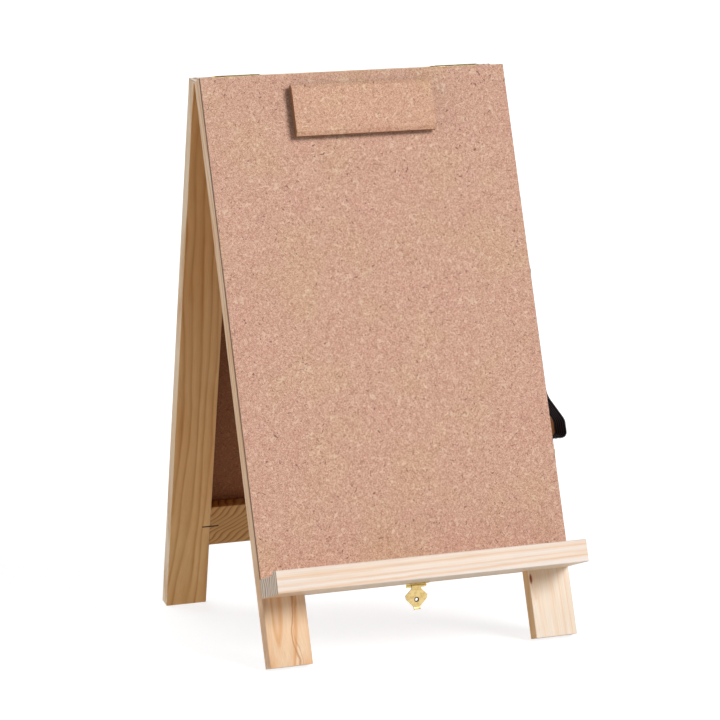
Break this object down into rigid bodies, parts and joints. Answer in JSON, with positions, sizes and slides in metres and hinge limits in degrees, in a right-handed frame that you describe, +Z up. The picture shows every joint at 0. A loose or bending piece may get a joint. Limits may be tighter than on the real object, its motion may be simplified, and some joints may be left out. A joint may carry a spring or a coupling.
{
  "type": "wooden artist easel",
  "caption": "Folding A-frame table easel: hinged pine leaves with fibreboard panels, a lipped tray, a paper clip, brass hinges and clasp, and a side strap handle.",
  "frame": {"origin": "on the floor, midway across the easel and straight below the hinge pins, level with the feet's inner edges at the spread it is stored at", "axes": "+Z up, +X to the right seen from the front, front board and tray towards -Y"},
  "size_m": [0.2648, 0.2974, 0.437],
  "materials": {
    "pine": "sanded, unvarnished",
    "fibreboard": "smooth pressed fibre face",
    "clip_wood": "smooth, bevelled edges",
    "brass": "bright plated",
    "steel": "plain zinc",
    "ferrite": "matt black ceramic magnet",
    "webbing": "ribbed woven band",
    "lining": "tan leather backing"
  },
  "bodies": {
    "front_leaf": {"front_stile_left": "pine", "front_stile_right": "pine", "front_top_rail": "pine", "front_bottom_rail": "pine", "front_board": "fibreboard", "front_frame_staples": "steel", "tray": "pine", "tray_screws": "steel", "hinge_left_front_plate": "brass", "hinge_right_front_plate": "brass", "hinge_pins": "brass", "front_hinge_screws": "brass", "clasp_plate": "brass", "clasp_pin": "brass", "clasp_screws": "brass", "handle_pads": "lining", "handle_webbing": "webbing", "handle_lining": "lining", "handle_washers": "brass", "handle_screws": "brass", "clip_discs": "steel"},
    "rear_leaf": {"rear_stile_left": "pine", "rear_stile_right": "pine", "rear_top_rail": "pine", "rear_bottom_rail": "pine", "rear_board": "fibreboard", "rear_frame_staples": "steel", "hinge_left_rear_plate": "brass", "hinge_right_rear_plate": "brass", "rear_hinge_screws": "brass", "catch_plate": "brass", "catch_screws": "brass"},
    "clasp_flap": {"clasp_flap": "brass"},
    "paper_clip": {"clip_block": "clip_wood", "clip_magnets": "ferrite"}
  },
  "joints": [
    {"name": "leg_fold", "type": "hinge", "parent": "front_leaf", "child": "rear_leaf", "pos_m": [0, 0, 0.43489], "axis": [1, 0, 0], "range_deg": [-32, 146]},
    {"name": "clasp_swing", "type": "hinge", "parent": "front_leaf", "child": "clasp_flap", "pos_m": [0.0025, -0.11202, 0.0486], "axis": [1, 0, 0], "range_deg": [-95, 74]},
    {"name": "clip_lift", "type": "slide", "parent": "front_leaf", "child": "paper_clip", "axis": [0, -0.9613, 0.2756], "range_m": [0, 0.02]}
  ]
}
